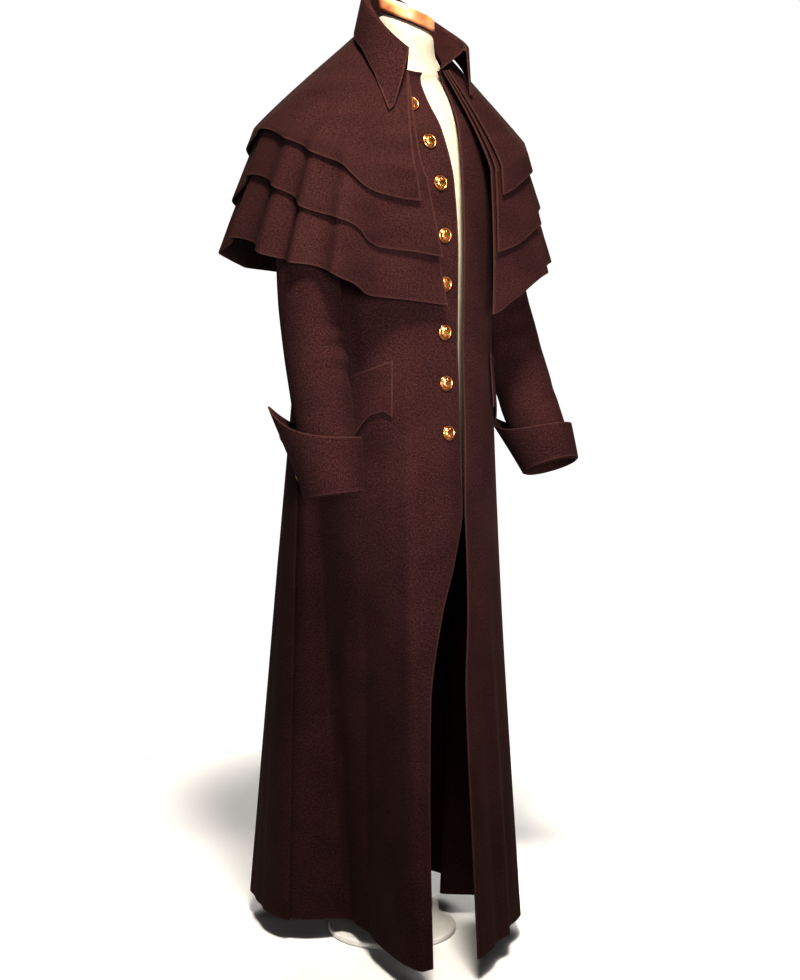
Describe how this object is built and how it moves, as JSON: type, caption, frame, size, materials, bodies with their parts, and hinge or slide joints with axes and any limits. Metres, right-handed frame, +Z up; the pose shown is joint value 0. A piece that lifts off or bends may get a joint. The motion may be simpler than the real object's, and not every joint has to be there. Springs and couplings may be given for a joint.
{
  "type": "caped greatcoat on a dress form",
  "caption": "Long wool greatcoat with layered shoulder capes, pointed high collar, deep turned-back cuffs, slanted pocket flaps and brass buttons, worn open on a limbless dress form.",
  "frame": {"origin": "centre of the underside of the stand's base, on the floor", "axes": "+Z up, -Y towards the coat's front, +X towards the wearer's left"},
  "size_m": [0.5141, 0.4909, 1.4439],
  "materials": {
    "wool": "dark brown wool cloth, fine twill, soft nap",
    "brass": "polished, slightly worn",
    "linen": "cream cover, close weave",
    "wood": "turned wood, satin varnish",
    "iron": "pale grey paint"
  },
  "bodies": {
    "root": {"front_right": "wool", "front_left": "wool", "back": "wool", "sleeve_right": "wool", "sleeve_left": "wool", "cuff_right": "wool", "cuff_left": "wool", "flap_right": "wool", "flap_left": "wool", "collar": "wool", "cape_lower": "wool", "cape_middle": "wool", "cape_upper": "wool", "button_front_1": "brass", "button_front_2": "brass", "button_front_3": "brass", "button_front_4": "brass", "button_front_5": "brass", "button_front_6": "brass", "button_front_7": "brass", "button_front_8": "brass", "button_cuff_right_1": "brass", "button_cuff_right_2": "brass", "button_cuff_left_1": "brass", "button_cuff_left_2": "brass", "form_torso": "linen", "form_cap": "wood", "form_pole": "iron", "form_base": "iron"}
  },
  "joints": []
}
